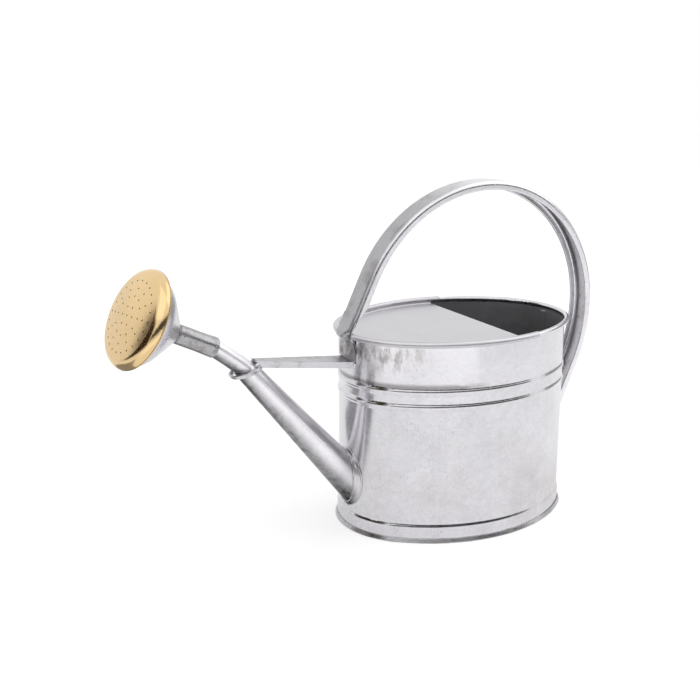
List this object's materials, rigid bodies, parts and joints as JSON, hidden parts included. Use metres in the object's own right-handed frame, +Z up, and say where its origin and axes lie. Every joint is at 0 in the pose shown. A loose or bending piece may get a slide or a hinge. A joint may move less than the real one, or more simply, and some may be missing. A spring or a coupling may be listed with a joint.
{
  "type": "watering can",
  "caption": "Oval zinc-coated watering can with a half cover, a hoop handle from front to back, a braced slanting spout and a brass-faced rose that turns and pulls off.",
  "frame": {"origin": "centre of the plane of the folded base lip that the can stands on", "axes": "+Z up, -X towards the spout and rose, +X towards the handle's back leg, +Y across the can"},
  "size_m": [0.4742, 0.1744, 0.3066],
  "materials": {
    "zinc_wall": "hot-dip zinc coat, softly mirror-like",
    "steel_wire": "plain drawn wire",
    "zinc_base": "zinc coat, worn where it stands",
    "zinc_cover": "zinc coat, satin",
    "zinc_handle": "zinc coat, satin with dull stains",
    "rivet_steel": "zinc-coated rivet",
    "zinc_spout": "zinc coat with brown-grey smudges",
    "zinc_brace": "zinc coat, satin",
    "zinc_rose": "zinc coat, satin, slightly blue",
    "brass_plate": "satin brass"
  },
  "bodies": {
    "can": {"body_wall": "zinc_wall", "rim_wire": "steel_wire", "base_pan": "zinc_base", "top_cover": "zinc_cover", "handle_hoop": "zinc_handle", "handle_rivets": "rivet_steel", "spout_tube": "zinc_spout", "spout_collar": "zinc_spout", "spout_elbow": "zinc_spout", "brace_loop": "zinc_brace", "brace_strut": "zinc_brace"},
    "rose_sleeve": {"rose_sleeve": "zinc_rose"},
    "rose_head": {"rose_cup": "zinc_rose", "rose_face": "brass_plate"}
  },
  "joints": [
    {"name": "rose_pull", "type": "slide", "parent": "can", "child": "rose_sleeve", "axis": [-0.8834, -0.1304, 0.4501], "range_m": [0, 0.026]},
    {"name": "rose_twist", "type": "hinge", "parent": "rose_sleeve", "child": "rose_head", "pos_m": [-0.23634, -0.00253, 0.18569], "axis": [-0.8834, -0.1304, 0.4501], "continuous": true}
  ]
}
